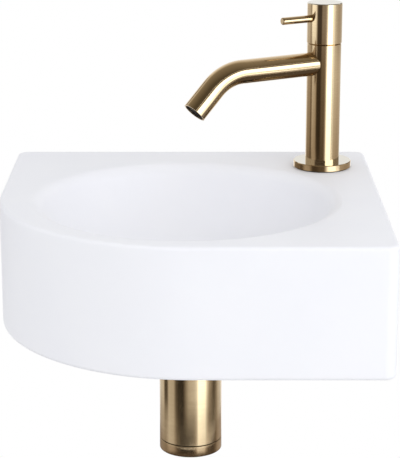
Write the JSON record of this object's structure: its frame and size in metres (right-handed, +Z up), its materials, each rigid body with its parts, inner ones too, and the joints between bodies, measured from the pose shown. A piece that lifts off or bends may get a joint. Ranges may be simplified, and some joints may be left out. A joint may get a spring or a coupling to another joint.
{
  "type": "hand basin with tap",
  "caption": "Wall-hung ceramic hand basin with a round bowl and a large rounded corner, a quarter-turn pillar tap with a bent spout, an open waste and a bottle trap.",
  "frame": {"origin": "midway between the two wall bolt holes, on the plane of the wall", "axes": "+Z up, +Y into the wall, +X to the right of someone who faces the basin, which stands out towards -Y"},
  "size_m": [0.3, 0.34, 0.3482],
  "materials": {
    "white_glaze": "silky white glaze",
    "brushed_gold": "brushed gold coating on turned brass",
    "plain_brass": "machined, uncoated",
    "stainless": "machined stainless steel",
    "black_rubber": "matt moulded rubber",
    "white_nylon": "moulded nylon",
    "dark_nylon": "moulded dark nylon",
    "valve_ceramic": "lapped alumina"
  },
  "bodies": {
    "basin_body": {"basin": "white_glaze", "wall_sleeves": "white_nylon", "tap_base_seal": "black_rubber", "tap_flange": "brushed_gold", "tap_column": "brushed_gold", "tap_spout": "brushed_gold", "aerator_body": "dark_nylon", "aerator_screen": "dark_nylon", "aerator_seal": "black_rubber", "headpart_seat_seal": "black_rubber", "headpart_body": "plain_brass", "headpart_fixed_disc": "valve_ceramic", "tap_shank": "plain_brass", "shank_rubber_washer": "black_rubber", "shank_metal_washer": "stainless", "shank_backnut": "plain_brass", "waste_top_seal": "black_rubber", "waste_body": "brushed_gold", "waste_cover": "brushed_gold", "waste_cover_stud": "stainless", "waste_under_seal": "black_rubber", "waste_backnut": "plain_brass", "trap_inlet_seal": "black_rubber", "trap_inlet_nut": "brushed_gold", "trap_inlet_tube": "plain_brass", "trap_neck_nut": "brushed_gold", "trap_neck_seal": "black_rubber", "trap_bottle": "brushed_gold", "trap_outlet_nut": "brushed_gold", "trap_outlet_seal": "black_rubber", "trap_outlet_pipe": "brushed_gold", "trap_wall_rosette": "brushed_gold"},
    "handle": {"handle_cap": "brushed_gold", "lever_pin": "brushed_gold", "handle_grub_screw": "stainless", "headpart_spindle": "plain_brass", "headpart_moving_disc": "valve_ceramic"},
    "cap_ring": {"trap_cap_seal": "black_rubber"},
    "clean_out_cap": {"trap_cap": "brushed_gold"}
  },
  "joints": [
    {"name": "handle_turn", "type": "hinge", "parent": "basin_body", "child": "handle", "pos_m": [0.11006, -0.05608, 0.16], "axis": [0, 0, 1], "range_deg": [0, 90]},
    {"name": "cap_travel", "type": "slide", "parent": "basin_body", "child": "cap_ring", "axis": [0, 0, -1], "range_m": [0, 0.009]},
    {"name": "cap_turn", "type": "hinge", "parent": "cap_ring", "child": "clean_out_cap", "pos_m": [0, -0.158, -0.1458], "axis": [0, 0, -1], "range_deg": [0, 1620]}
  ],
  "couplings": [
    {"joint": "cap_turn", "follows": "cap_travel", "rad_per_m": 3141.5}
  ]
}
